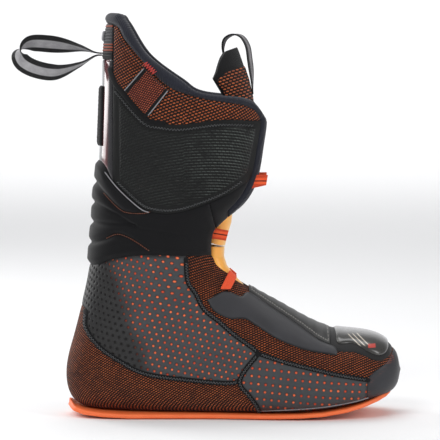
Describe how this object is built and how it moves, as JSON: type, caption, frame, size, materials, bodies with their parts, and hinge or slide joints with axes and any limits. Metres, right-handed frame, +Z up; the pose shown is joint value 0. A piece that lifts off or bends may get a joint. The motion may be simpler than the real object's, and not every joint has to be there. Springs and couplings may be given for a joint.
{
  "type": "ski boot liner",
  "caption": "Soft inner boot for ski touring: foam foot and high cuff with flexing ankle, two front wings, tilting tongue, pull loops and a thin flat outsole.",
  "frame": {"origin": "on the ground under the middle of the boot's bounding box", "axes": "+X to the toe, +Z up, -Y to the outer (lateral) side of a right foot"},
  "size_m": [0.341, 0.1194, 0.353],
  "materials": {
    "outsole": "satin orange rubber",
    "foam": "matt black lining cloth over foam",
    "footbed": "matt grey felt",
    "mesh": "open weave, orange threads on black",
    "perforated": "grey coated panel with orange dots",
    "satin": "satin dark grey film",
    "bumper": "gloss grey film",
    "toe_rubber": "matt black rubberised mesh",
    "tongue": "yellow orange flexible plastic",
    "neoprene": "matt black neoprene",
    "gloss_panel": "gloss black with a dark red band",
    "embossed": "near black embossed film",
    "binding": "dark grey bound edge",
    "hook_strip": "black hook strip",
    "badge": "grey moulded badge",
    "webbing": "black webbing with a silver grey stripe",
    "lace_loop": "red orange webbing"
  },
  "bodies": {
    "foot": {"outsole": "outsole", "foot_foam": "foam", "forefoot_foam": "foam", "footbed": "footbed", "lateral_heel_mesh": "mesh", "medial_heel_mesh": "mesh", "lateral_vamp_mesh": "mesh", "medial_vamp_mesh": "mesh", "lateral_ankle_panel": "perforated", "medial_ankle_panel": "perforated", "lateral_forefoot_panel": "perforated", "medial_forefoot_panel": "perforated", "lateral_eyestay": "satin", "medial_eyestay": "satin", "instep_cover": "satin", "toe_bumper": "bumper", "toe_cap": "toe_rubber", "tongue_base": "tongue", "ankle_band": "neoprene", "lateral_lower_lace_loop": "lace_loop", "medial_lower_lace_loop": "lace_loop"},
    "cuff": {"cuff_foam": "foam", "spine_panel": "gloss_panel", "rear_tab": "mesh", "lateral_cuff_panel": "embossed", "lateral_collar_mesh": "mesh", "medial_cuff_panel": "embossed", "medial_collar_mesh": "mesh", "collar_binding": "binding", "cuff_patch": "mesh", "hook_strip": "hook_strip", "rear_badge": "badge", "lateral_middle_lace_loop": "lace_loop", "medial_middle_lace_loop": "lace_loop"},
    "tongue": {"tongue_shell": "tongue", "tongue_lining": "foam", "tongue_mesh": "mesh", "tongue_pull_loop": "webbing"},
    "lateral_wing": {"lateral_wing_foam": "foam", "lateral_wing_panel": "embossed", "lateral_wing_mesh": "mesh", "lateral_wing_trim": "neoprene", "lateral_wing_binding": "binding", "lateral_upper_lace_loop": "lace_loop"},
    "medial_wing": {"medial_wing_foam": "foam", "medial_wing_panel": "embossed", "medial_wing_mesh": "mesh", "medial_wing_trim": "neoprene", "medial_wing_binding": "binding", "medial_upper_lace_loop": "lace_loop"},
    "rear_loop": {"rear_pull_loop": "webbing"}
  },
  "joints": [
    {"name": "ankle_flex", "type": "hinge", "parent": "foot", "child": "cuff", "pos_m": [-0.05, 0, 0.134], "axis": [0, 1, 0], "range_deg": [-12, 15], "stiffness_Nm_per_rad": 6, "deforming": ["ankle_band", "tongue_base"]},
    {"name": "tongue_tilt", "type": "hinge", "parent": "cuff", "child": "tongue", "pos_m": [0.012, 0, 0.149], "axis": [0, 1, 0], "range_deg": [0, 16], "stiffness_Nm_per_rad": 1.5},
    {"name": "lateral_wing_fold", "type": "hinge", "parent": "cuff", "child": "lateral_wing", "pos_m": [0.0105, -0.061, 0.155], "axis": [0.2452, 0, -0.9695], "range_deg": [0, 40]},
    {"name": "medial_wing_fold", "type": "hinge", "parent": "cuff", "child": "medial_wing", "pos_m": [0.0105, 0.061, 0.155], "axis": [-0.2452, 0, 0.9695], "range_deg": [0, 40]},
    {"name": "rear_loop_swing", "type": "hinge", "parent": "cuff", "child": "rear_loop", "pos_m": [-0.0944, 0, 0.317], "axis": [0, 1, 0], "range_deg": [-45, 25], "stiffness_Nm_per_rad": 0.06}
  ],
  "couplings": [
    {"joint": "lateral_wing_fold", "follows": "tongue_tilt", "ratio": 2.5},
    {"joint": "medial_wing_fold", "follows": "tongue_tilt", "ratio": 2.5}
  ]
}
